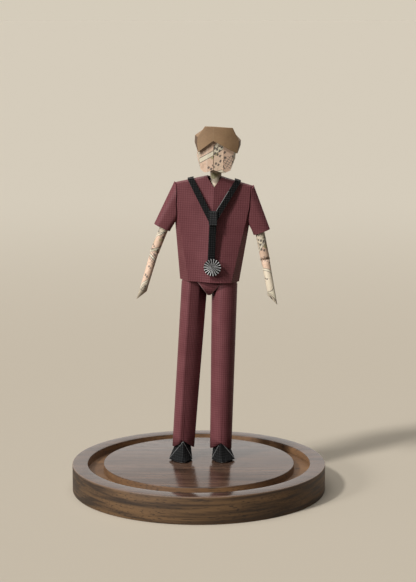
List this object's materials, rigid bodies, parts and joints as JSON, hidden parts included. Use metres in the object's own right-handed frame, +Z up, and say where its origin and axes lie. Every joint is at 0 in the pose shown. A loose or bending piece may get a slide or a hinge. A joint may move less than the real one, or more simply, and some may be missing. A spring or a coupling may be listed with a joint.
{
  "type": "folded paper figure on a stand",
  "caption": "Folded-paper figure in maroon shirt and trousers with a paper stethoscope, on a round walnut stand with a ring groove; head, arms and stethoscope move.",
  "frame": {"origin": "middle of the stand's underside", "axes": "+Z up, the figure looks along -Y, its left side is on +X"},
  "size_m": [0.15, 0.15, 0.2139],
  "materials": {
    "walnut": "satin oiled walnut",
    "maroon_paper": "linen-embossed, matte",
    "map_paper": "printed, matte",
    "brown_paper": "matte",
    "black_paper": "matte",
    "card": "plain",
    "bamboo": "plain"
  },
  "bodies": {
    "stand": {"stand": "walnut", "left_shoe": "black_paper", "right_shoe": "black_paper", "left_trouser_leg": "maroon_paper", "right_trouser_leg": "maroon_paper", "left_leg_rod": "bamboo", "right_leg_rod": "bamboo", "seat_front_panel": "maroon_paper", "seat_back_panel": "maroon_paper", "body_block": "card", "shirt_front": "maroon_paper", "shirt_back": "maroon_paper", "neck": "map_paper", "stethoscope_left_strap": "black_paper", "stethoscope_right_strap": "black_paper", "stethoscope_neck_strap": "black_paper", "stethoscope_clasp": "black_paper"},
    "head": {"head_block": "card", "face": "map_paper", "hair": "brown_paper"},
    "left_arm": {"left_sleeve": "maroon_paper", "left_upper_arm": "map_paper"},
    "right_arm": {"right_sleeve": "maroon_paper", "right_upper_arm": "map_paper"},
    "left_hand": {"left_forearm": "map_paper"},
    "right_hand": {"right_forearm": "map_paper"},
    "stethoscope_drop": {"stethoscope_drop_strip": "black_paper", "stethoscope_rosette": "black_paper"}
  },
  "joints": [
    {"name": "neck_turn", "type": "hinge", "parent": "stand", "child": "head", "pos_m": [0.01002, 0.008, 0.18819], "axis": [0.0454, 0, 0.999], "range_deg": [-50, 50]},
    {"name": "left_shoulder_fold", "type": "hinge", "parent": "stand", "child": "left_arm", "pos_m": [0.03236, 0.008, 0.17967], "axis": [0, -1, 0], "range_deg": [0, 35]},
    {"name": "right_shoulder_fold", "type": "hinge", "parent": "stand", "child": "right_arm", "pos_m": [-0.0144, 0.008, 0.18179], "axis": [0, 1, 0], "range_deg": [0, 35]},
    {"name": "left_elbow_crease", "type": "hinge", "parent": "left_arm", "child": "left_hand", "pos_m": [0.03906, 0.0108, 0.13597], "axis": [-0.9836, 0, -0.1805], "range_deg": [-15, 12]},
    {"name": "right_elbow_crease", "type": "hinge", "parent": "right_arm", "child": "right_hand", "pos_m": [-0.02598, 0.0108, 0.1408], "axis": [-0.9573, 0, 0.289], "range_deg": [-15, 12]},
    {"name": "stethoscope_swing", "type": "hinge", "parent": "stand", "child": "stethoscope_drop", "pos_m": [0.00827, -0.00395, 0.15854], "axis": [-0.999, 0, 0.0454], "range_deg": [-2, 30]}
  ]
}
